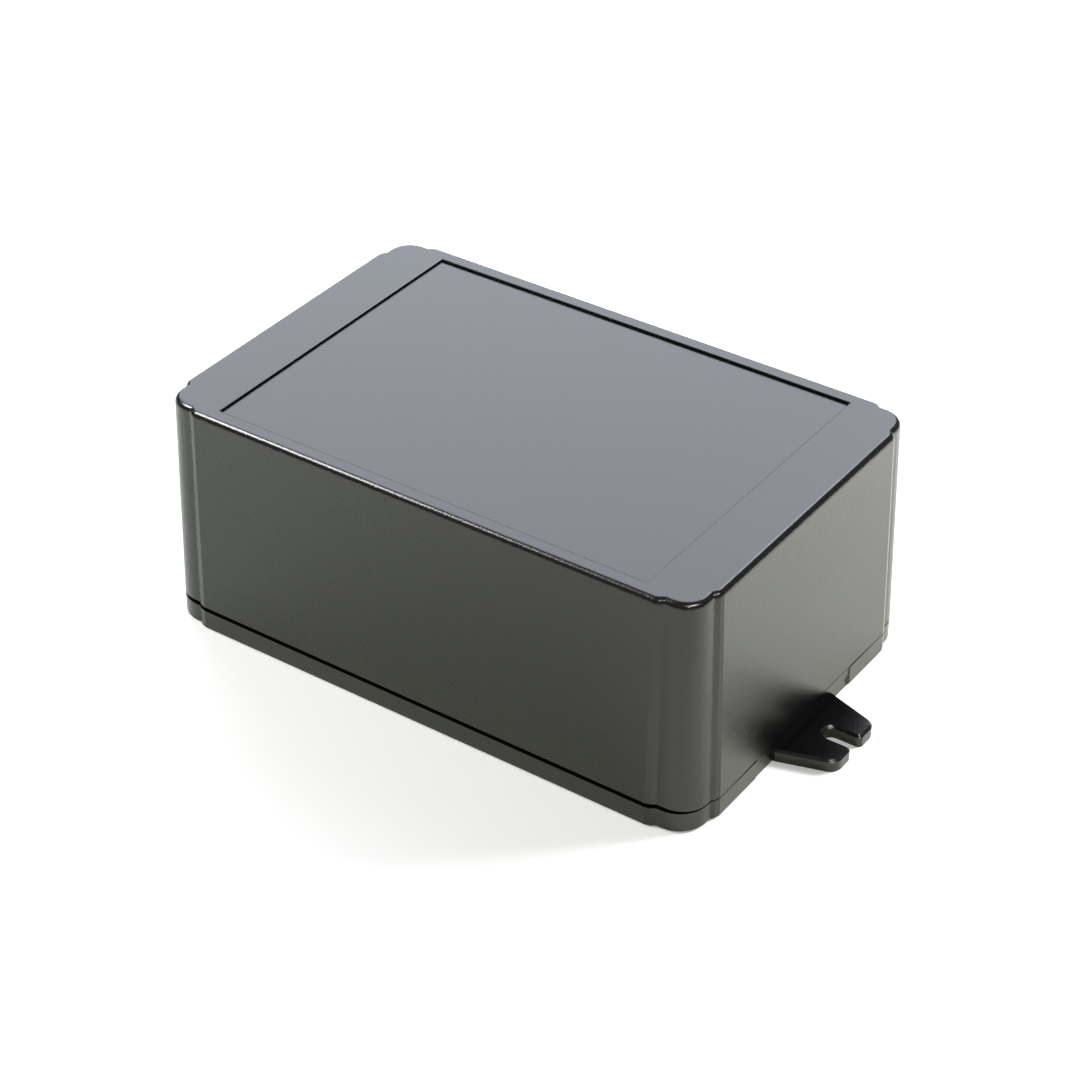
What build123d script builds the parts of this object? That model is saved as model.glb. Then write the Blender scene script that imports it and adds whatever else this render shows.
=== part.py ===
from build123d import *
import os

# Flanged plastic project box: a shallow base, a deep cover that stands on it, and the four screws
# that hold the two together. Millimetres, +X along the box, +Z up, origin under the middle of the base.

os.makedirs("parts", exist_ok=True)

# Body, measured over the flat walls at the parting line
length = 150.0
width = 97.0
height = 61.0
base_height = 5.4
draft_angle = 1.5
top_edge_radius = 1.5
bottom_edge_bevel = 0.5

# Gap between the base and the cover: open along the sides, arched along the ends, closing at the corners
side_gap = 1.15
end_gap = 0.7
corner_gap = 0.1

# Corners, set back from the flat walls, with a sloped flank at each end of each wall and a short
# straight land between the flank's foot and the corner's round
corner_inset = 1.1
corner_radius = 7.5
flank_width = 1.6
flank_land = 1.1
shoulder_bevel = 0.75

# Wall, top and floor
wall = 2.2
top_thickness = 2.5
floor_thickness = 2.5

# Label recess in the top, kept clear of the walls by its margins
recess_end_margin = 16.6
recess_side_margin = 5.7
recess_depth = 0.6
recess_edge_depth = 0.08
recess_edge_angle = 70.0

# Locating lips on the base, inside the cover's walls
lip_thickness = 1.4
lip_height = 2.8
lip_clearance = 0.25
lip_lead = 0.5
lip_end_clearance = 1.5

# Screw bosses of the cover, and the solid corners of the base that they stand on
screw_setback = 7.2
boss_radius = 3.6
pilot_radius = 1.45
pilot_depth = 16.0
corner_block = 11.4

# Cover screws
screw_length = 14.0
screw_radius = 1.35
screw_head_radius = 3.1
screw_head_height = 2.2
driver_width = 0.9
driver_span = 3.6
driver_depth = 1.2
screw_hole_clearance = 0.5
head_side_clearance = 0.4
head_sink = 0.3

# Mounting flanges at the two ends, each with a slot open at the tip
flange_reach = 13.7
flange_thickness = 3.2
flange_root_width = 26.0
flange_tip_width = 17.5
flange_tip_radius = 3.2
flange_edge_bevel = 0.6
slot_width = 4.2
slot_land = 5.3
slot_mouth_radius = 1.2

# Shallow relief of the base's end walls about the flanges, a step deeper below the flange's top,
# with ends that slope at 45 degrees
relief_width = 42.0
relief_depth = 0.25
relief_step = 0.25

# Board posts on the floor
post_pitch_x = 104.0
post_pitch_y = 60.0
post_radius = 3.2
post_height = 6.5
post_pilot_radius = 1.25
post_pilot_depth = 5.5

# Levels and places that follow from the sizes above
cover_bottom = base_height + corner_gap
ceiling = height - recess_depth - top_thickness
end_face = length / 2
side_face = width / 2
recess_length = length - 2 * recess_end_margin
recess_width = width - 2 * recess_side_margin
wall_setback = corner_inset + corner_radius + flank_land + flank_width
inner_length = length - 2 * (corner_inset + wall)
inner_width = width - 2 * (corner_inset + wall)
inner_radius = corner_radius - wall
tray_inset = lip_clearance + lip_thickness
screw_x = end_face - screw_setback
screw_y = side_face - screw_setback
screw_seat = head_sink + screw_head_height


def on_wall(vertex):
    """True for a vertex where a flat wall ends, on the outermost length or width of the outline."""
    return abs(abs(vertex.X) - end_face) < 0.001 or abs(abs(vertex.Y) - side_face) < 0.001


def walls_with_flanks(half_flat, half_across, flank_run, flank_rise):
    """Corners of an octagon: two flat walls half_across from the middle, and the slopes at their ends."""
    quarter = [(half_flat, half_across), (half_flat + flank_run, half_across - flank_rise)]
    half = quarter + [(x, -y) for x, y in reversed(quarter)]
    return half + [(-x, y) for x, y in reversed(half)]


# Plan outline shared by the base and the cover: a rounded rectangle gives the set-back corners, and two
# octagons laid across each other give the flat walls, with flanks that run on into the rounded rectangle
with BuildSketch() as outline:
    RectangleRounded(length - 2 * corner_inset, width - 2 * corner_inset, corner_radius)
    side_walls = walls_with_flanks(end_face - wall_setback, side_face, 2 * flank_width, 2 * corner_inset)
    end_walls = walls_with_flanks(side_face - wall_setback, end_face, 2 * flank_width, 2 * corner_inset)
    with BuildLine():
        Polyline(side_walls, close=True)
    make_face()
    with BuildLine():
        Polyline([(across, along) for along, across in end_walls], close=True)
    make_face()
    chamfer(vertices().filter_by(on_wall), shoulder_bevel)

# One flange, level with the underside and rooted inside the end wall
with BuildPart() as flange:
    with BuildSketch():
        with BuildLine():
            root = end_face - wall
            tip = end_face + flange_reach
            near_edge = [
                (root, flange_root_width / 2),
                (end_face, flange_root_width / 2),
                (tip, flange_tip_width / 2),
            ]
            Polyline(near_edge + [(x, -y) for x, y in reversed(near_edge)], close=True)
        make_face()
        fillet(vertices().group_by(Axis.X)[-1], flange_tip_radius)
        with Locations((end_face + slot_land + slot_width / 2, 0)):
            Circle(slot_width / 2, mode=Mode.SUBTRACT)
            Rectangle(flange_reach, slot_width, align=(Align.MIN, Align.CENTER), mode=Mode.SUBTRACT)
        fillet(vertices().group_by(Axis.X)[-1].sort_by(Axis.Y)[1:-1], slot_mouth_radius)
    extrude(amount=flange_thickness)
    upper_rim = faces().sort_by(Axis.Z)[-1].edges()
    chamfer(upper_rim.filter_by(lambda edge: edge.center().X > end_face), flange_edge_bevel)

# Base: floor with a low rim and solid corners, flanges, locating lips and board posts, in one piece
with BuildPart() as base:
    add(outline.sketch)
    extrude(amount=base_height)
    chamfer(faces().sort_by(Axis.Z)[0].edges(), bottom_edge_bevel)

    for depth, level in ((relief_depth, base_height), (relief_depth + relief_step, flange_thickness)):
        for side in (-1, 1):
            with BuildSketch():
                with BuildLine():
                    shallow = [(side * end_face, relief_width / 2), (side * end_face, -relief_width / 2)]
                    deep = [(x - side * depth, y * (1 - 2 * depth / relief_width)) for x, y in shallow]
                    Polyline(shallow + deep[::-1], close=True)
                make_face()
            extrude(amount=level, mode=Mode.SUBTRACT)

    with BuildSketch(Plane.XY.offset(floor_thickness)):
        Rectangle(inner_length - 2 * tray_inset, inner_width - 2 * tray_inset)
        chamfer(vertices(), corner_block)
    extrude(amount=base_height, mode=Mode.SUBTRACT)

    add(flange.part)
    add(mirror(flange.part, about=Plane.YZ, mode=Mode.PRIVATE))

    lip_room = 2 * (screw_setback + boss_radius + lip_end_clearance)
    with BuildSketch(Plane.XY.offset(base_height)):
        with GridLocations(0, inner_width - 2 * lip_clearance - lip_thickness, 1, 2):
            Rectangle(length - lip_room, lip_thickness)
        with GridLocations(inner_length - 2 * lip_clearance - lip_thickness, 0, 2, 1):
            Rectangle(lip_thickness, width - lip_room)
    extrude(amount=lip_height)
    chamfer(faces().group_by(Axis.Z)[-1].edges(), lip_lead)

    with BuildSketch(Plane.XY.offset(floor_thickness)):
        with GridLocations(post_pitch_x, post_pitch_y, 2, 2):
            Circle(post_radius)
    extrude(amount=post_height)
    with Locations((0, 0, floor_thickness + post_height)):
        with GridLocations(post_pitch_x, post_pitch_y, 2, 2):
            Hole(post_pilot_radius, post_pilot_depth)

    with Locations(Plane.XY.rotated((180, 0, 0))):
        with GridLocations(2 * screw_x, 2 * screw_y, 2, 2):
            CounterBoreHole(
                screw_radius + screw_hole_clearance,
                screw_head_radius + head_side_clearance,
                screw_seat,
            )

# Cover: drafted shell with the label recess, and a screw boss run into the wall of each corner
with BuildPart() as cover:
    with BuildSketch(Plane.XY.offset(cover_bottom)):
        add(outline.sketch)
    extrude(amount=height - cover_bottom)
    draft(faces().sort_by(Axis.Z)[1:-1], Plane.XY.offset(cover_bottom), draft_angle)
    fillet(faces().sort_by(Axis.Z)[-1].edges(), top_edge_radius)

    with BuildSketch(Plane.XY.offset(height)):
        Rectangle(recess_length, recess_width)
    extrude(amount=-recess_depth, mode=Mode.SUBTRACT)
    with BuildSketch(Plane.XY.offset(height - recess_edge_depth)):
        Rectangle(recess_length, recess_width)
    extrude(amount=recess_edge_depth, taper=-recess_edge_angle, mode=Mode.SUBTRACT)

    with BuildSketch(Plane.XY.offset(cover_bottom)):
        RectangleRounded(inner_length, inner_width, inner_radius)
    extrude(amount=ceiling - cover_bottom, taper=draft_angle, mode=Mode.SUBTRACT)

    # Lower edge, lifted along the sides and running out round the corners, and arched along the ends
    side_run = end_face - corner_radius
    run_out = end_face + corner_inset
    with BuildSketch(Plane.XZ):
        with BuildLine():
            Polyline(
                (-run_out, cover_bottom),
                (-side_run, base_height + side_gap),
                (side_run, base_height + side_gap),
                (run_out, cover_bottom),
                close=True,
            )
        make_face()
    extrude(amount=width, both=True, mode=Mode.SUBTRACT)
    end_run = side_face - wall_setback
    with BuildSketch(Plane.YZ):
        with BuildLine():
            ThreePointArc((-end_run, cover_bottom), (0, base_height + end_gap), (end_run, cover_bottom))
            Line((end_run, cover_bottom), (-end_run, cover_bottom))
        make_face()
    extrude(amount=length, both=True, mode=Mode.SUBTRACT)

    with BuildSketch(Plane.XY.offset(base_height)):
        with GridLocations(2 * screw_x, 2 * screw_y, 2, 2):
            Circle(boss_radius)
    extrude(amount=ceiling - base_height)
    with BuildSketch(Plane.XY.offset(base_height)):
        with GridLocations(2 * screw_x, 2 * screw_y, 2, 2):
            Circle(pilot_radius)
    extrude(amount=pilot_depth, mode=Mode.SUBTRACT)

# One cover screw, head down in the base's counterbore and point up in the cover's boss
with BuildPart() as screw:
    with BuildSketch(Plane.XZ):
        with BuildLine():
            Polyline(
                (0, head_sink),
                (screw_head_radius, head_sink),
                (screw_head_radius, screw_seat),
                (screw_radius, screw_seat),
                (screw_radius, screw_seat + screw_length),
                (0, screw_seat + screw_length),
                close=True,
            )
        make_face()
    revolve(axis=Axis.Z)
    with BuildSketch(Plane.XY.offset(head_sink)):
        Rectangle(driver_span, driver_width)
        Rectangle(driver_width, driver_span)
    extrude(amount=driver_depth, mode=Mode.SUBTRACT)

with BuildPart() as cover_screws:
    with GridLocations(2 * screw_x, 2 * screw_y, 2, 2):
        add(screw.part)

base.part.label = "base"
export_step(base.part, "parts/base.step")

cover.part.label = "cover"
export_step(cover.part, "parts/cover.step")

cover_screws.part.label = "cover_screws"
export_step(cover_screws.part, "parts/cover_screws.step")
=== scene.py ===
import logging
import math
from dataclasses import dataclass, field
from enum import Enum

import bmesh
import bpy
from mathutils import Matrix, Quaternion, Vector


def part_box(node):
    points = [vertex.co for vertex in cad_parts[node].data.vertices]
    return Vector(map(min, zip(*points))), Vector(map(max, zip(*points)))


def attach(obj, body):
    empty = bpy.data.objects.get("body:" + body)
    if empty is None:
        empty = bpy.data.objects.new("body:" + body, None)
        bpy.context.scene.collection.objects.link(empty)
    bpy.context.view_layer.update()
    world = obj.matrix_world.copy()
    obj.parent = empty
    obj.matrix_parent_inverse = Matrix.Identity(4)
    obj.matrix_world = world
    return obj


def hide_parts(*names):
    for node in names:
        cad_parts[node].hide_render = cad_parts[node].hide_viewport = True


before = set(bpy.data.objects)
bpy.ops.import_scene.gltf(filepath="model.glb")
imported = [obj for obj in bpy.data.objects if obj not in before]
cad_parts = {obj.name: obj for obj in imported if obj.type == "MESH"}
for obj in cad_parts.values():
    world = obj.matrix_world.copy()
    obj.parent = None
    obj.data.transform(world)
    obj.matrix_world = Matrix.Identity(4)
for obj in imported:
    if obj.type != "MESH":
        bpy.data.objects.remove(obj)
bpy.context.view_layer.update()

Point = tuple[float, float, float]
Colour = tuple[float, float, float]
Span = tuple[float, float]
Operand = bpy.types.NodeSocket | float | tuple[float, ...]
Sockets = dict[str, bpy.types.NodeSocket]
Ring = list[bmesh.types.BMVert]

# One millimetre in the frame's metres
MM = 0.001
UNIT: Span = (0.0, 1.0)
WHITE: Colour = (1.0, 1.0, 1.0)
COOL_LIGHT: Colour = (0.85, 0.90, 1.0)

log = logging.getLogger("project_box")


class Piece(str, Enum):
    """Solids of the box, by the names that they have in the frame."""

    BASE = "base"
    COVER = "cover"
    SCREWS = "cover_screws"


class LampUse(Enum):
    """What a lamp is there for."""

    SHADING = "shading"
    GLINT = "glint"


class Curve(str, Enum):
    """Ways from one end of a range to the other, by Blender's names."""

    LINEAR = "LINEAR"
    SMOOTH = "SMOOTHSTEP"


class Effect(str, Enum):
    """Surface effects of the finishes, each one a shader node group."""

    GRAIN = "spark_grain"
    FLOW = "flow_mottle"
    PALE_DOTS = "pale_dots"
    WALLS = "upright_walls"


def opaque(colour: Colour) -> tuple[float, float, float, float]:
    """Gives a colour full opacity, as Blender's colour inputs take it."""
    return (*colour, 1.0)


def add_object(name: str, data: bpy.types.ID) -> bpy.types.Object:
    """Puts a mesh, a lamp or a camera into the scene.

    Args:
        name: Name of the object.
        data: The mesh, lamp or camera.

    Returns:
        The new object.
    """
    thing = bpy.data.objects.new(name, data)
    bpy.context.scene.collection.objects.link(thing)
    return thing


@dataclass
class NodeSheet:
    """A node tree that is being written, with short calls for its nodes and wires.

    Attributes:
        tree: The shader or geometry tree that the nodes go into.
        column_width: Distance between columns of nodes in the editor.
        row_height: Distance between rows of nodes in the editor.
        rows: Number of nodes in a column.
    """

    tree: bpy.types.NodeTree
    column_width: int = 220
    row_height: int = 260
    rows: int = 4

    def add(self, kind: str, values: dict[str, object] | None = None, **settings: object) -> bpy.types.Node:
        """Adds one node.

        Args:
            kind: Blender's type name of the node.
            values: Values of its unlinked inputs, by socket name.
            settings: Properties of the node itself.

        Returns:
            The new node.
        """
        node = self.tree.nodes.new(kind)
        for name, value in settings.items():
            setattr(node, name, value)
        for name, value in (values or {}).items():
            node.inputs[name].default_value = value
        return node

    def wire(self, source: bpy.types.NodeSocket, target: bpy.types.NodeSocket) -> None:
        """Links an output socket to an input socket."""
        self.tree.links.new(source, target)

    def feed(self, operand: Operand, target: bpy.types.NodeSocket) -> None:
        """Links a socket to an input, or sets the input to a plain value.

        Args:
            operand: A socket, a number, a vector or a colour with its opacity.
            target: The input.
        """
        if isinstance(operand, bpy.types.NodeSocket):
            self.wire(operand, target)
        else:
            target.default_value = operand

    def math(
        self, operation: str, first: Operand, second: Operand = 0.0, clamp: bool = False
    ) -> bpy.types.NodeSocket:
        """Adds a Math node fed by sockets or plain numbers.

        Args:
            operation: Name of the operation, such as MULTIPLY.
            first: First operand, a socket or a number.
            second: Second operand, a socket or a number.
            clamp: Whether the result is held between 0 and 1.

        Returns:
            The socket that holds the result.
        """
        node = self.add("ShaderNodeMath", operation=operation, use_clamp=clamp)
        self.feed(first, node.inputs[0])
        self.feed(second, node.inputs[1])
        return node.outputs["Value"]

    def mix(self, first: Operand, second: Operand, factor: bpy.types.NodeSocket) -> bpy.types.NodeSocket:
        """Adds a mix of two colours.

        Args:
            first: Colour where the factor is 0.
            second: Colour where the factor is 1.
            factor: Socket that runs from 0 to 1.

        Returns:
            The socket that holds the mixed colour.
        """
        node = self.add("ShaderNodeMix", data_type="RGBA")
        self.feed(first, node.inputs["A"])
        self.feed(second, node.inputs["B"])
        self.wire(factor, node.inputs["Factor"])
        return node.outputs["Result"]

    def remap(
        self, value: bpy.types.NodeSocket, source: Span, target: Span, curve: Curve = Curve.LINEAR
    ) -> bpy.types.NodeSocket:
        """Maps a number from one range to another, and holds it within the second.

        Args:
            value: Socket that holds the number.
            source: Range that the number comes from.
            target: Range that it goes to.
            curve: Way from one end to the other.

        Returns:
            The socket that holds the mapped number.
        """
        ends = {"From Min": source[0], "From Max": source[1], "To Min": target[0], "To Max": target[1]}
        node = self.add("ShaderNodeMapRange", ends, interpolation_type=curve.value)
        self.wire(value, node.inputs["Value"])
        return node.outputs["Result"]

    def bump(
        self, height: bpy.types.NodeSocket, distance: float, strength: float = 1.0
    ) -> bpy.types.NodeSocket:
        """Adds a Bump node.

        Args:
            height: Socket that holds the height of the relief.
            distance: Length of one unit of height, in metres.
            strength: Share of the relief that shows.

        Returns:
            The socket that holds the bumped normal.
        """
        node = self.add("ShaderNodeBump", {"Strength": strength, "Distance": distance})
        self.wire(height, node.inputs["Height"])
        return node.outputs["Normal"]

    def place_nodes(self) -> None:
        """Lays the nodes out in a row of columns, so that the tree can be read in the editor."""
        for index, node in enumerate(self.tree.nodes):
            column, row = divmod(index, self.rows)
            node.location = (self.column_width * column, -self.row_height * row)


def new_material(name: str) -> tuple[bpy.types.Material, NodeSheet, bpy.types.Node]:
    """Starts a material.

    Args:
        name: Name of the material.

    Returns:
        The material, the sheet of its nodes and its shader.
    """
    material = bpy.data.materials.new(name)
    material.use_nodes = True
    sheet = NodeSheet(material.node_tree)
    return material, sheet, sheet.tree.nodes["Principled BSDF"]


@dataclass
class EffectLibrary:
    """Builds the surface effects once and places them in materials.

    Attributes:
        groups: The groups made so far, by effect.
        finer_ratio: How many times finer the small bumps of the grain are than the large ones.
        finer_share: Height of the small bumps, as a share of the large ones.
        crest_band: Heights of the grain between which its colour goes from hollow to crest.
        flow_stretch: Scale of the flow marks along each axis, less where they are drawn out.
    """

    groups: dict[Effect, bpy.types.NodeTree] = field(default_factory=dict)
    finer_ratio: float = 2.7
    finer_share: float = 0.4
    crest_band: Span = (0.36, 0.64)
    flow_stretch: Point = (0.5, 1.0, 1.0)

    def build(self) -> None:
        """Makes every effect once."""
        makers = {
            Effect.GRAIN: self._grain,
            Effect.FLOW: self._flow,
            Effect.PALE_DOTS: self._pale_dots,
            Effect.WALLS: self._walls,
        }
        for effect, maker in makers.items():
            self.groups[effect] = maker()
            log.info("effect %s is ready", effect.value)

    def put(self, sheet: NodeSheet, effect: Effect, values: dict[str, float]) -> bpy.types.Node:
        """Places an effect in a material, on the piece's own coordinates and normals.

        Args:
            sheet: The material's tree.
            effect: Which effect to place.
            values: Sizes and amounts of this use, by input name.

        Returns:
            The group node, whose outputs feed the shader.
        """
        node = sheet.add("ShaderNodeGroup", values, node_tree=self.groups[effect])
        place = sheet.add("ShaderNodeTexCoord")
        for output, name in (("Object", "Position"), ("Normal", "Facing")):
            if name in node.inputs:
                sheet.wire(place.outputs[output], node.inputs[name])
        return node

    def _open(
        self, effect: Effect, inputs: list[str], outputs: list[str], vector: str = "Position"
    ) -> tuple[NodeSheet, Sockets, Sockets]:
        """Starts a group with one vector input and named numbers in and out.

        Args:
            effect: The effect that the group is for.
            inputs: Names of the number inputs.
            outputs: Names of the number outputs.
            vector: Name of the vector input, Position or Facing.

        Returns:
            The group's sheet, its inputs by name and its outputs by name.
        """
        tree = bpy.data.node_groups.new(effect.value, "ShaderNodeTree")
        tree.interface.new_socket(vector, in_out="INPUT", socket_type="NodeSocketVector")
        for name in inputs:
            tree.interface.new_socket(name, in_out="INPUT", socket_type="NodeSocketFloat")
        for name in outputs:
            tree.interface.new_socket(name, in_out="OUTPUT", socket_type="NodeSocketFloat")
        sheet = NodeSheet(tree)
        entry = sheet.add("NodeGroupInput")
        leave = sheet.add("NodeGroupOutput")
        return sheet, {s.name: s for s in entry.outputs}, {s.name: s for s in leave.inputs}

    def _grain(self) -> bpy.types.NodeTree:
        """Fine spark-eroded texture of a mould: rounded bumps with finer bumps on them.

        Returns:
            The group, with the outputs Height and Speckle.
        """
        sheet, given, result = self._open(Effect.GRAIN, ["Size"], ["Height", "Speckle"])
        coarse = sheet.add("ShaderNodeTexNoise", {"Detail": 2.0, "Roughness": 0.55})
        fine = sheet.add("ShaderNodeTexNoise", {"Detail": 1.0, "Roughness": 0.5})
        scale = sheet.math("DIVIDE", 1.0, given["Size"])
        finer = sheet.math("MULTIPLY", scale, self.finer_ratio)
        for node, value in ((coarse, scale), (fine, finer)):
            sheet.wire(given["Position"], node.inputs["Vector"])
            sheet.wire(value, node.inputs["Scale"])
        share = sheet.math("MULTIPLY", fine.outputs["Fac"], self.finer_share)
        sheet.wire(sheet.math("ADD", coarse.outputs["Fac"], share), result["Height"])
        sheet.wire(sheet.remap(coarse.outputs["Fac"], self.crest_band, UNIT), result["Speckle"])
        sheet.place_nodes()
        return sheet.tree

    def _flow(self) -> bpy.types.NodeTree:
        """Broad, faint clouds that change the gloss, drawn out along the box.

        Returns:
            The group, with the output Mask.
        """
        sheet, given, result = self._open(Effect.FLOW, ["Reach"], ["Mask"])
        stretch = sheet.add("ShaderNodeVectorMath", operation="MULTIPLY")
        sheet.wire(given["Position"], stretch.inputs[0])
        sheet.feed(self.flow_stretch, stretch.inputs[1])
        cloud = sheet.add("ShaderNodeTexNoise", {"Detail": 3.0, "Roughness": 0.5})
        sheet.wire(stretch.outputs["Vector"], cloud.inputs["Vector"])
        sheet.wire(sheet.math("DIVIDE", 1.0, given["Reach"]), cloud.inputs["Scale"])
        sheet.wire(cloud.outputs["Fac"], result["Mask"])
        sheet.place_nodes()
        return sheet.tree

    def _pale_dots(self) -> bpy.types.NodeTree:
        """Sparse pale dots scattered at random over the surface.

        Returns:
            The group, with the output Mask.
        """
        sheet, given, result = self._open(Effect.PALE_DOTS, ["Spacing", "Radius", "Share"], ["Mask"])
        cells = sheet.add("ShaderNodeTexVoronoi", {"Randomness": 1.0}, feature="F1")
        sheet.wire(given["Position"], cells.inputs["Vector"])
        sheet.wire(sheet.math("DIVIDE", 1.0, given["Spacing"]), cells.inputs["Scale"])
        reach = sheet.math("MULTIPLY", cells.outputs["Distance"], given["Spacing"])
        near = sheet.math("DIVIDE", reach, given["Radius"])
        dot = sheet.math("SUBTRACT", 1.0, near, clamp=True)
        draw = sheet.add("ShaderNodeSeparateColor")
        sheet.wire(cells.outputs["Color"], draw.inputs["Color"])
        kept = sheet.math("LESS_THAN", draw.outputs["Red"], given["Share"])
        sheet.wire(sheet.math("MULTIPLY", dot, kept), result["Mask"])
        sheet.place_nodes()
        return sheet.tree

    def _walls(self) -> bpy.types.NodeTree:
        """Upright walls, where the mould's texture is deeper than on level faces.

        Returns:
            The group, with the output Mask: 1 on an upright wall and 0 on a level face.
        """
        sheet, given, result = self._open(Effect.WALLS, [], ["Mask"], vector="Facing")
        split = sheet.add("ShaderNodeSeparateXYZ")
        sheet.wire(given["Facing"], split.inputs["Vector"])
        level = sheet.math("ABSOLUTE", split.outputs["Z"])
        sheet.wire(sheet.math("SUBTRACT", 1.0, level, clamp=True), result["Mask"])
        sheet.place_nodes()
        return sheet.tree


@dataclass(frozen=True)
class MouldedPlastic:
    """Black moulded plastic with a fine satin texture.

    Attributes:
        name: Name of the material.
        colour: Body colour of the plastic, in the hollows of its texture.
        speckle_colour: Body colour on the crests of the texture.
        ior: Index of refraction of the plastic.
        roughness: Middle roughness of the skin.
        flow_change: How much the roughness varies where the melt ran.
        flow_reach: Size of one cloud of the flow, in metres.
        grain_size: Width of one bump of the texture, in metres.
        level_depth: Height of the texture on level faces, in metres.
        wall_depth: Height of the texture on upright walls, in metres.
        dot_colour: Colour of a pale dot.
        dot_spacing: Distance between places for a speck, in metres.
        dot_radius: Radius of a speck, in metres.
        dot_share: Share of the places that hold a speck.
    """

    name: str
    colour: Colour = (0.0006, 0.0006, 0.0007)
    speckle_colour: Colour = (0.0026, 0.0026, 0.0026)
    ior: float = 1.53
    roughness: float = 0.21
    flow_change: float = 0.04
    flow_reach: float = 38 * MM
    grain_size: float = 0.5 * MM
    level_depth: float = 0.02 * MM
    wall_depth: float = 0.09 * MM
    dot_colour: Colour = (0.32, 0.31, 0.29)
    dot_spacing: float = 5.2 * MM
    dot_radius: float = 0.11 * MM
    dot_share: float = 0.3

    def build(self, effects: EffectLibrary) -> bpy.types.Material:
        """Makes the material.

        Args:
            effects: The surface effects.

        Returns:
            The material, ready to be assigned.
        """
        material, sheet, shader = new_material(self.name)
        shader.inputs["IOR"].default_value = self.ior
        grain = effects.put(sheet, Effect.GRAIN, {"Size": self.grain_size})
        flow = effects.put(sheet, Effect.FLOW, {"Reach": self.flow_reach})
        specks = {"Spacing": self.dot_spacing, "Radius": self.dot_radius, "Share": self.dot_share}
        dots = effects.put(sheet, Effect.PALE_DOTS, specks)
        walls = effects.put(sheet, Effect.WALLS, {})

        body = sheet.mix(opaque(self.colour), opaque(self.speckle_colour), grain.outputs["Speckle"])
        # Pale dots at random places are mixed into the body colour.
        tint = sheet.mix(body, opaque(self.dot_colour), dots.outputs["Mask"])
        sheet.wire(tint, shader.inputs["Base Color"])

        gloss = (self.roughness - self.flow_change, self.roughness + self.flow_change)
        sheet.wire(sheet.remap(flow.outputs["Mask"], UNIT, gloss), shader.inputs["Roughness"])

        depth = sheet.remap(walls.outputs["Mask"], UNIT, (self.level_depth, self.wall_depth))
        height = sheet.math("MULTIPLY", grain.outputs["Height"], depth)
        sheet.wire(sheet.bump(height, distance=1.0), shader.inputs["Normal"])
        sheet.place_nodes()
        return material


@dataclass(frozen=True)
class ZincSteel:
    """Zinc-plated steel of the cover screws, a little cloudy from the bath.

    Attributes:
        name: Name of the material.
        bright: Colour of the bright plating.
        dull: Colour of the cloudy plating.
        roughness: Roughness range, from bright to cloudy.
        cloud_reach: Size of one cloud of the plating, in metres.
        grain_size: Width of one bump of the plating, in metres.
        grain_depth: Height of the plating's bumps, in metres.
        grain_strength: Share of the bumps that shows.
    """

    name: str
    bright: Colour = (0.66, 0.66, 0.64)
    dull: Colour = (0.50, 0.50, 0.48)
    roughness: Span = (0.26, 0.42)
    cloud_reach: float = 1.6 * MM
    grain_size: float = 0.25 * MM
    grain_depth: float = 0.004 * MM
    grain_strength: float = 0.4

    def build(self, effects: EffectLibrary) -> bpy.types.Material:
        """Makes the material.

        Args:
            effects: The surface effects.

        Returns:
            The material, ready to be assigned.
        """
        material, sheet, shader = new_material(self.name)
        shader.inputs["Metallic"].default_value = 1.0
        cloud = effects.put(sheet, Effect.FLOW, {"Reach": self.cloud_reach})
        grain = effects.put(sheet, Effect.GRAIN, {"Size": self.grain_size})

        tint = sheet.mix(opaque(self.bright), opaque(self.dull), cloud.outputs["Mask"])
        sheet.wire(tint, shader.inputs["Base Color"])
        sheet.wire(sheet.remap(cloud.outputs["Mask"], UNIT, self.roughness), shader.inputs["Roughness"])
        normal = sheet.bump(grain.outputs["Height"], self.grain_depth, self.grain_strength)
        sheet.wire(normal, shader.inputs["Normal"])
        sheet.place_nodes()
        return material


@dataclass
class Moulding:
    """A moulded piece whose solid is already right, so that only its finish is added.

    Attributes:
        piece: The solid in the frame.
        finish: The plastic that it is moulded in.
    """

    piece: Piece
    finish: MouldedPlastic

    def dress(self, effects: EffectLibrary) -> bpy.types.Object:
        """Gives the solid its finish.

        Args:
            effects: The surface effects.

        Returns:
            The dressed object.
        """
        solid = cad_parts[self.piece.value]
        solid.data.materials.clear()
        solid.data.materials.append(self.finish.build(effects))
        log.info("%s is dressed in %s", self.piece.value, self.finish.name)
        return solid


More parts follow.
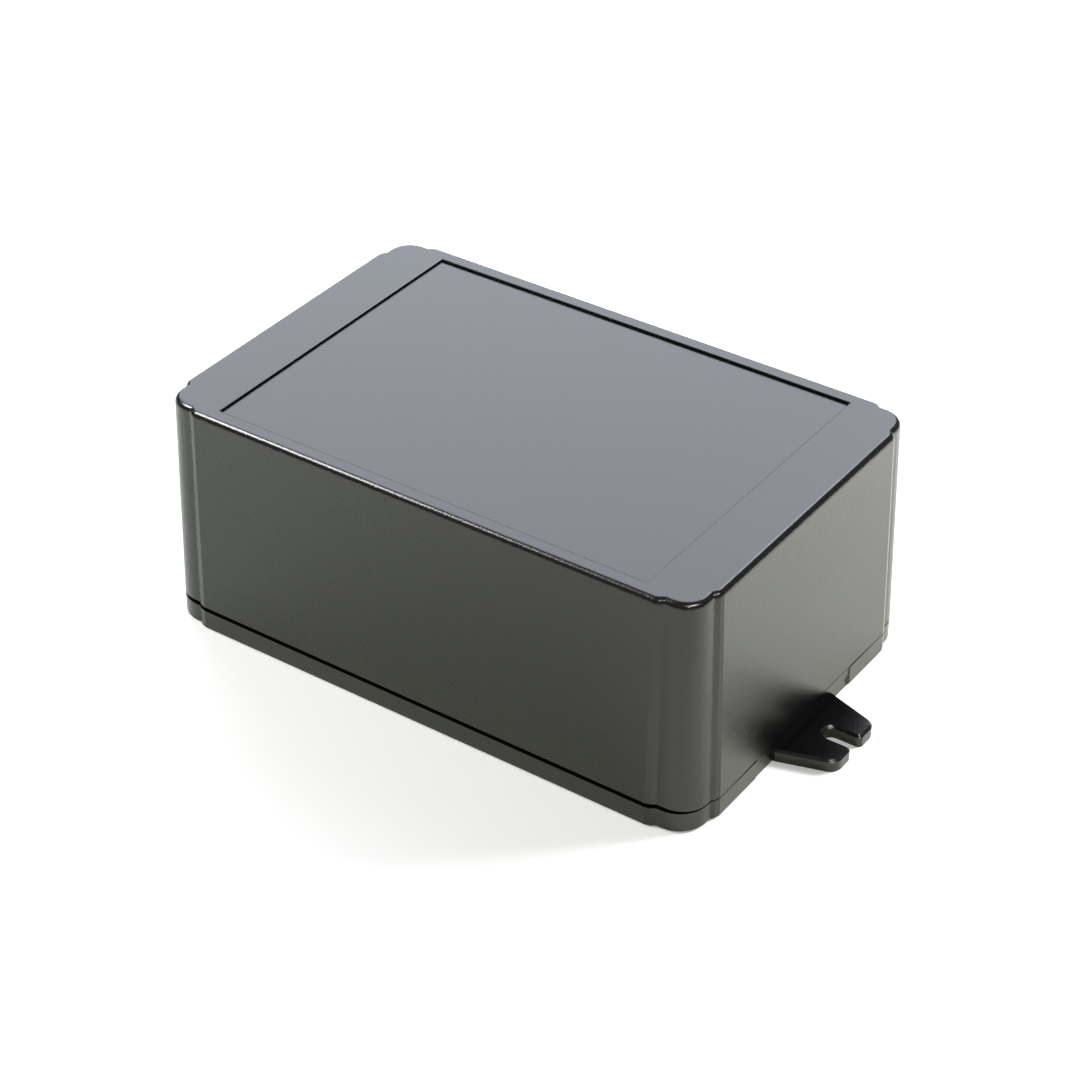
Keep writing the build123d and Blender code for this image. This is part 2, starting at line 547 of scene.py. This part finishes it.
@dataclass
class ScrewSet:
    """The four cover screws, each with a domed head, a cross recess and a cutting thread.

    Attributes:
        finish: The plating of the screws.
        carrier: Body that the screws ride on.
        slot: Material slot of the record that they take.
        along: Number of screws along the box.
        across: Number of screws across the box.
        head_radius: Radius of the head.
        head_height: Height of the head below its seat.
        head_round: Rounding of the head's outer edge.
        core_radius: Radius of the shank under the thread.
        crest_radius: Radius over the thread's crest.
        point_length: Length of the point.
        thread_pitch: Rise of the thread in one turn.
        thread_foot: Half the height of the thread's foot, as a share of the pitch.
        thread_root: Radius of the thread's foot, as a share of the core's.
        thread_fade: Share of the thread's length over which it rises at one end and sinks at the other.
        thread_stop: Distance from the thread's end to the tip, as a share of the point.
        recess_width: Width of one arm of the cross recess.
        recess_span: Length over two arms of the cross recess.
        recess_depth: Depth of the cross recess.
        recess_floor: Size of the recess at its bottom, as a share of its mouth.
        sides: Number of steps round the screw.
        round_steps: Number of steps over the rounding of the head.
        thread_steps: Number of steps in one turn of the thread.
        sharp_angle: Angle from which an edge is shaded as sharp, in degrees.
    """

    finish: ZincSteel
    carrier: str = "base"
    slot: str = "screw_steel"
    along: int = 2
    across: int = 2
    head_radius: float = 3.1 * MM
    head_height: float = 2.2 * MM
    head_round: float = 0.9 * MM
    core_radius: float = 1.0 * MM
    crest_radius: float = 1.35 * MM
    point_length: float = 2.5 * MM
    thread_pitch: float = 1.15 * MM
    thread_foot: float = 0.32
    thread_root: float = 0.9
    thread_fade: float = 1 / 12
    thread_stop: float = 0.25
    recess_width: float = 0.9 * MM
    recess_span: float = 3.6 * MM
    recess_depth: float = 1.2 * MM
    recess_floor: float = 0.55
    sides: int = 32
    round_steps: int = 6
    thread_steps: int = 24
    sharp_angle: float = 35.0

    def build(self, effects: EffectLibrary) -> bpy.types.Object:
        """Makes the four screws as one piece in the place of the plain ones.

        Args:
            effects: The surface effects.

        Returns:
            The finished piece.
        """
        low, high = (Vector(corner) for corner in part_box(Piece.SCREWS.value))
        pitch_x = high.x - low.x - 2 * self.head_radius
        pitch_y = high.y - low.y - 2 * self.head_radius
        screw = self._one_screw(low.z, high.z)
        mesh = self._spread(screw, pitch_x, pitch_y, self.finish.build(effects))
        bpy.data.meshes.remove(screw.data)  # takes its object with it
        piece = add_object("threaded_screws", mesh)
        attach(piece, self.carrier)
        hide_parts(Piece.SCREWS.value)
        log.info("threaded_screws has %d faces", len(mesh.polygons))
        return piece

    def _one_screw(self, face: float, tip: float) -> bpy.types.Object:
        """Makes one screw on the upright axis.

        Args:
            face: Height of the head's outer face.
            tip: Height of the point.

        Returns:
            The screw as an object of its own.
        """
        shape = bmesh.new()
        rim = self._lathe(shape, face, tip)
        self._recess(shape, rim, face)
        self._thread(shape, face + self.head_height, tip)
        bmesh.ops.recalc_face_normals(shape, faces=shape.faces)
        mesh = bpy.data.meshes.new("one_screw")
        shape.to_mesh(mesh)
        shape.free()
        mesh.shade_smooth()
        mesh.set_sharp_from_angle(angle=math.radians(self.sharp_angle))
        return add_object("one_screw", mesh)

    def _ring(self, shape: bmesh.types.BMesh, radius: float, height: float) -> Ring:
        """Adds a ring of vertices.

        Args:
            shape: The mesh being made.
            radius: Radius of the ring.
            height: Height of the ring.

        Returns:
            The ring's vertices in order.
        """
        turns = [2 * math.pi * side / self.sides for side in range(self.sides)]
        return [shape.verts.new((radius * math.cos(turn), radius * math.sin(turn), height)) for turn in turns]

    @staticmethod
    def _bridge(shape: bmesh.types.BMesh, first: Ring, second: Ring) -> None:
        """Joins two rings that have as many vertices with a band of four-sided faces.

        Args:
            shape: The mesh being made.
            first: Vertices of the first ring in order.
            second: Vertices of the second ring in the same order.
        """
        for i in range(len(first)):
            j = (i + 1) % len(first)
            shape.faces.new((first[i], first[j], second[j], second[i]))

    def _lathe(self, shape: bmesh.types.BMesh, face: float, tip: float) -> Ring:
        """Turns the head, shank and point about the screw's axis.

        Args:
            shape: The mesh being made.
            face: Height of the head's outer face.
            tip: Height of the point.

        Returns:
            The ring round the flat of the head's face.
        """
        flat = self.head_radius - self.head_round
        seat = face + self.head_height
        profile = []
        for step in range(self.round_steps + 1):
            bend = 0.5 * math.pi * step / self.round_steps
            radius = flat + self.head_round * math.sin(bend)
            profile.append((radius, face + self.head_round * (1 - math.cos(bend))))
        profile += [
            (self.head_radius, seat),
            (self.core_radius, seat),
            (self.core_radius, tip - self.point_length),
        ]
        rings = [self._ring(shape, radius, height) for radius, height in profile]
        for lower, upper in zip(rings, rings[1:]):
            self._bridge(shape, lower, upper)
        point = shape.verts.new((0, 0, tip))
        for i in range(self.sides):
            shape.faces.new((rings[-1][i], rings[-1][(i + 1) % self.sides], point))
        return rings[0]

    def _cross(self, shape: bmesh.types.BMesh, scale: float, height: float) -> Ring:
        """Adds the twelve corners of a cross.

        Args:
            shape: The mesh being made.
            scale: Size of the cross, as a share of the recess's mouth.
            height: Height of the cross.

        Returns:
            The corners in order.
        """
        arm = 0.5 * self.recess_span * scale
        half = 0.5 * self.recess_width * scale
        corners = []
        for quarter in range(4):
            turn = Matrix.Rotation(0.5 * math.pi * quarter, 3, "Z")
            for spot in ((arm, -half, 0), (arm, half, 0), (half, half, 0)):
                corners.append(turn @ Vector(spot))
        return [shape.verts.new((spot.x, spot.y, height)) for spot in corners]

    def _recess(self, shape: bmesh.types.BMesh, rim: Ring, face: float) -> None:
        """Sinks the cross recess into the head's face and closes the face round it.

        Args:
            shape: The mesh being made.
            rim: Ring round the flat of the head's face.
            face: Height of the head's outer face.
        """
        mouth = self._cross(shape, 1.0, face)
        floor = self._cross(shape, self.recess_floor, face + self.recess_depth)
        self._bridge(shape, mouth, floor)
        for borders in ((rim, mouth), (floor,)):
            edges = [shape.edges.get((loop[i - 1], loop[i])) for loop in borders for i in range(len(loop))]
            bmesh.ops.triangle_fill(shape, use_beauty=True, edges=edges)

    def _thread(self, shape: bmesh.types.BMesh, seat: float, tip: float) -> None:
        """Winds the thread round the shank, from under the head to the point.

        Args:
            shape: The mesh being made.
            seat: Height of the head's seat.
            tip: Height of the point.
        """
        start = seat + self.thread_pitch
        end = tip - self.thread_stop * self.point_length
        turns = (end - start) / self.thread_pitch
        steps = round(turns * self.thread_steps)
        foot = self.thread_foot * self.thread_pitch
        previous = None
        for step in range(steps + 1):
            share = step / steps
            angle = 2 * math.pi * turns * share
            height = start + (end - start) * share
            core = self.core_radius * min(1.0, (tip - height) / self.point_length)
            fade = min(1.0, share / self.thread_fade, (1 - share) / self.thread_fade)
            crest = core + (self.crest_radius - self.core_radius) * fade
            root = self.thread_root * core
            section = [
                shape.verts.new((radius * math.cos(angle), radius * math.sin(angle), height + rise))
                for radius, rise in ((root, -foot), (crest, 0.0), (root, foot))
            ]
            if previous:
                self._bridge(shape, previous, section)
            else:
                shape.faces.new(section)
            previous = section
        shape.faces.new(previous)

    def _spread(
        self, screw: bpy.types.Object, pitch_x: float, pitch_y: float, steel: bpy.types.Material
    ) -> bpy.types.Mesh:
        """Sets one screw at each point of a grid with a node tree.

        Args:
            screw: The screw to repeat.
            pitch_x: Distance between the outer screws along the box.
            pitch_y: Distance between the outer screws across the box.
            steel: Material of the screws.

        Returns:
            A plain mesh of all the screws.
        """
        tree = bpy.data.node_groups.new("screw_grid", "GeometryNodeTree")
        kinds = {
            "Screw": "NodeSocketObject",
            "Pitch X": "NodeSocketFloat",
            "Pitch Y": "NodeSocketFloat",
            "Finish": "NodeSocketMaterial",
        }
        names = {}
        for name, kind in kinds.items():
            names[name] = tree.interface.new_socket(name, in_out="INPUT", socket_type=kind).identifier
        tree.interface.new_socket("Geometry", in_out="OUTPUT", socket_type="NodeSocketGeometry")
        sheet = NodeSheet(tree)
        given = sheet.add("NodeGroupInput")
        leave = sheet.add("NodeGroupOutput")
        grid = sheet.add("GeometryNodeMeshGrid", {"Vertices X": self.along, "Vertices Y": self.across})
        model = sheet.add("GeometryNodeObjectInfo")
        spread = sheet.add("GeometryNodeInstanceOnPoints")
        real = sheet.add("GeometryNodeRealizeInstances")
        finish = sheet.add("GeometryNodeSetMaterial")
        sheet.wire(given.outputs["Screw"], model.inputs["Object"])
        sheet.wire(given.outputs["Pitch X"], grid.inputs["Size X"])
        sheet.wire(given.outputs["Pitch Y"], grid.inputs["Size Y"])
        sheet.wire(grid.outputs["Mesh"], spread.inputs["Points"])
        sheet.wire(model.outputs["Geometry"], spread.inputs["Instance"])
        sheet.wire(spread.outputs["Instances"], real.inputs["Geometry"])
        sheet.wire(real.outputs["Geometry"], finish.inputs["Geometry"])
        sheet.wire(given.outputs["Finish"], finish.inputs["Material"])
        sheet.wire(finish.outputs["Geometry"], leave.inputs["Geometry"])
        sheet.place_nodes()

        holder = add_object("screw_holder", bpy.data.meshes.new("screw_holder"))
        modifier = holder.modifiers.new("screw_grid", "NODES")
        modifier.node_group = tree
        modifier[names["Screw"]] = screw
        modifier[names["Pitch X"]] = pitch_x
        modifier[names["Pitch Y"]] = pitch_y
        modifier[names["Finish"]] = steel
        ready = holder.evaluated_get(bpy.context.evaluated_depsgraph_get())
        mesh = bpy.data.meshes.new_from_object(ready)
        mesh.name = "threaded_screws"
        holder.modifiers.remove(modifier)
        bpy.data.meshes.remove(holder.data)  # takes its object with it
        return mesh


@dataclass(frozen=True)
class Softbox:
    """An area lamp that looks at a point.

    Attributes:
        name: Name of the lamp.
        place: Middle of the lamp.
        aim: Point that it looks at.
        size: Width and height of its face.
        watts: Power of the lamp.
        colour: Colour of its light.
        use: Whether the lamp lights matt surfaces or shows in glossy ones.
    """

    name: str
    place: Point
    aim: Point
    size: tuple[float, float]
    watts: float
    colour: Colour
    use: LampUse

    def build(self) -> bpy.types.Object:
        """Hangs the lamp in the scene, hidden from the camera itself.

        Returns:
            The lamp's object.
        """
        data = bpy.data.lights.new(self.name, "AREA")
        data.shape = "RECTANGLE"
        data.size, data.size_y = self.size
        data.energy = self.watts
        data.color = self.colour
        lamp = add_object(self.name, data)
        gaze = Vector(self.aim) - Vector(self.place)
        lamp.location = self.place
        lamp.rotation_euler = gaze.to_track_quat("-Z", "Y").to_euler()
        lamp.visible_camera = False
        lamp.visible_glossy = self.use is LampUse.GLINT
        lamp.visible_diffuse = self.use is LampUse.SHADING
        return lamp


@dataclass(frozen=True)
class PhotoView:
    """The camera at the photograph's viewing angle.

    Attributes:
        target: Point in the middle of the frame.
        azimuth: Turn about the upright axis, in degrees.
        elevation: Height of the view, in degrees.
        roll: Lean of the frame, in degrees.
        distance: Distance from the target.
        lens: Focal length, in millimetres.
        sensor: Width of the square sensor, in millimetres.
        clip: Nearest and farthest distance that the camera sees.
    """

    target: Point = (0.00287, -0.00228, 0.02603)
    azimuth: float = 34.873
    elevation: float = 35.170
    roll: float = 0.015
    distance: float = 0.66307
    lens: float = 93.788
    sensor: float = 36.0
    clip: Span = (0.01, 50.0)

    def build(self) -> bpy.types.Object:
        """Sets the camera up and makes it the scene's own.

        Returns:
            The camera's object.
        """
        turn, rise = math.radians(self.azimuth), math.radians(self.elevation)
        back = Vector((math.sin(turn) * math.cos(rise), -math.cos(turn) * math.cos(rise), math.sin(rise)))
        data = bpy.data.cameras.new("photo_view")
        data.lens = self.lens
        data.sensor_width = self.sensor
        data.clip_start, data.clip_end = self.clip
        camera = add_object("photo_view", data)
        camera.location = Vector(self.target) + self.distance * back
        lean = Quaternion((0.0, 0.0, 1.0), math.radians(self.roll))
        camera.rotation_euler = (back.to_track_quat("Z", "Y") @ lean).to_euler()
        bpy.context.scene.camera = camera
        return camera


@dataclass
class Studio:
    """Pale floor, soft lamps and a dim room.

    Attributes:
        floor_width: Width of the floor.
        floor_drop: How far the floor lies under the box, to keep their faces apart.
        floor_colour: Colour of the floor.
        floor_white: White that the camera sees in the floor near the box, over the floor's own light.
        fade_reach: Distances from the box between which the camera's floor turns to full white.
        floor_glow: Light that reflections see in the floor, over the floor's own light.
        glow_colour: Colour of that glow.
        room_light: Strength of the light from the room.
        lamps: The softboxes.
    """

    floor_width: float = 12.0
    floor_drop: float = 0.05 * MM
    floor_colour: Colour = (0.86, 0.86, 0.86)
    floor_white: float = 0.30
    fade_reach: Span = (0.4, 1.2)
    floor_glow: float = 0.28
    glow_colour: Colour = (0.86, 1.0, 0.58)
    room_light: float = 0.28
    lamps: tuple[Softbox, ...] = (
        Softbox(
            name="back_softbox",
            place=(-0.40, 0.78, 0.66),
            aim=(0.0, 0.0, 0.03),
            size=(1.4, 0.85),
            watts=13.3,
            colour=COOL_LIGHT,
            use=LampUse.SHADING,
        ),
        Softbox(
            name="top_softbox",
            place=(-0.50, 0.70, 0.64),
            aim=(0.0, 0.0, 0.06),
            size=(1.0, 0.8),
            watts=8.95,
            colour=COOL_LIGHT,
            use=LampUse.GLINT,
        ),
        Softbox(
            name="side_softbox",
            place=(0.35, 0.39, 0.31),
            aim=(0.12, 0.05, 0.0),
            size=(0.26, 0.26),
            watts=5.7,
            colour=(1.0, 0.98, 0.94),
            use=LampUse.SHADING,
        ),
        Softbox(
            name="front_softbox",
            place=(-0.54, -0.37, 0.36),
            aim=(-0.02, -0.10, 0.0),
            size=(0.3, 0.3),
            watts=5.0,
            colour=(0.98, 1.0, 0.95),
            use=LampUse.SHADING,
        ),
        Softbox(
            name="edge_strip",
            place=(-0.635, -0.20, 0.86),
            aim=(0.0, -0.047, 0.06),
            size=(0.45, 0.2),
            watts=9.0,
            colour=(1.0, 1.0, 0.98),
            use=LampUse.GLINT,
        ),
        Softbox(
            name="corner_strip",
            place=(0.60, -0.25, 0.88),
            aim=(0.07, -0.045, 0.06),
            size=(0.5, 0.1),
            watts=8.0,
            colour=(1.0, 0.90, 0.80),
            use=LampUse.GLINT,
        ),
        Softbox(
            name="end_strip",
            place=(-0.12, 0.74, 0.83),
            aim=(0.07, 0.0, 0.06),
            size=(0.24, 0.3),
            watts=1.1,
            colour=COOL_LIGHT,
            use=LampUse.GLINT,
        ),
    )

    def build(self) -> None:
        """Puts up the floor, the room and the lamps."""
        self._floor()
        self._room()
        for lamp in self.lamps:
            lamp.build()
        bpy.context.scene.view_settings.view_transform = "Standard"
        log.info("studio has %d lamps", len(self.lamps))

    def _floor(self) -> None:
        """Lays the floor just under the box."""
        shape = bmesh.new()
        bmesh.ops.create_grid(shape, x_segments=1, y_segments=1, size=0.5 * self.floor_width)
        bmesh.ops.translate(shape, verts=shape.verts, vec=(0.0, 0.0, -self.floor_drop))
        mesh = bpy.data.meshes.new("studio_floor")
        shape.to_mesh(mesh)
        shape.free()
        mesh.materials.append(self._paper())
        floor = add_object("studio_floor", mesh)

    def _paper(self) -> bpy.types.Material:
        """Makes the floor's finish, which keeps the shadow and shows as white in the view and in reflections.

        Returns:
            The material, ready to be assigned.
        """
        material, sheet, shader = new_material("floor_paper")
        sheet.tree.nodes.remove(shader)
        paper = sheet.add("ShaderNodeBsdfDiffuse", {"Color": opaque(self.floor_colour)})
        glow = sheet.add("ShaderNodeEmission")
        both = sheet.add("ShaderNodeAddShader")
        ray = sheet.add("ShaderNodeLightPath")
        tint = sheet.mix(opaque(self.glow_colour), opaque(WHITE), ray.outputs["Is Camera Ray"])
        sheet.wire(tint, glow.inputs["Color"])

        place = sheet.add("ShaderNodeTexCoord")
        distance = sheet.add("ShaderNodeVectorMath", operation="LENGTH")
        sheet.wire(place.outputs["Object"], distance.inputs[0])
        fade = sheet.remap(distance.outputs["Value"], self.fade_reach, (self.floor_white, 1.0), Curve.SMOOTH)
        seen = sheet.math("MULTIPLY", ray.outputs["Is Camera Ray"], fade)
        mirrored = sheet.math("MULTIPLY", ray.outputs["Is Glossy Ray"], self.floor_glow)
        sheet.wire(sheet.math("ADD", seen, mirrored), glow.inputs["Strength"])

        sheet.wire(paper.outputs["BSDF"], both.inputs[0])
        sheet.wire(glow.outputs["Emission"], both.inputs[1])
        sheet.wire(both.outputs["Shader"], sheet.tree.nodes["Material Output"].inputs["Surface"])
        sheet.place_nodes()
        return material

    def _room(self) -> None:
        """Gives the room its dim light, and the camera a white surround."""
        world = bpy.data.worlds.new("studio_room")
        bpy.context.scene.world = world
        world.use_nodes = True
        sheet = NodeSheet(world.node_tree)
        backdrop = sheet.tree.nodes["Background"]
        backdrop.inputs["Color"].default_value = opaque(WHITE)
        ray = sheet.add("ShaderNodeLightPath")
        white = sheet.math("MULTIPLY", ray.outputs["Is Camera Ray"], 1.0 - self.room_light)
        sheet.wire(sheet.math("ADD", white, self.room_light), backdrop.inputs["Strength"])
        sheet.place_nodes()


def main() -> None:
    """Builds the box's pieces in order, then the studio round it."""
    logging.basicConfig(level=logging.INFO, format="%(name)s: %(message)s")
    effects = EffectLibrary()
    effects.build()
    Moulding(Piece.BASE, MouldedPlastic("base_black_plastic")).dress(effects)
    Moulding(Piece.COVER, MouldedPlastic("cover_black_plastic")).dress(effects)
    ScrewSet(ZincSteel("zinc_plated_steel")).build(effects)
    Studio().build()
    PhotoView().build()


if __name__ == "__main__":
    main()
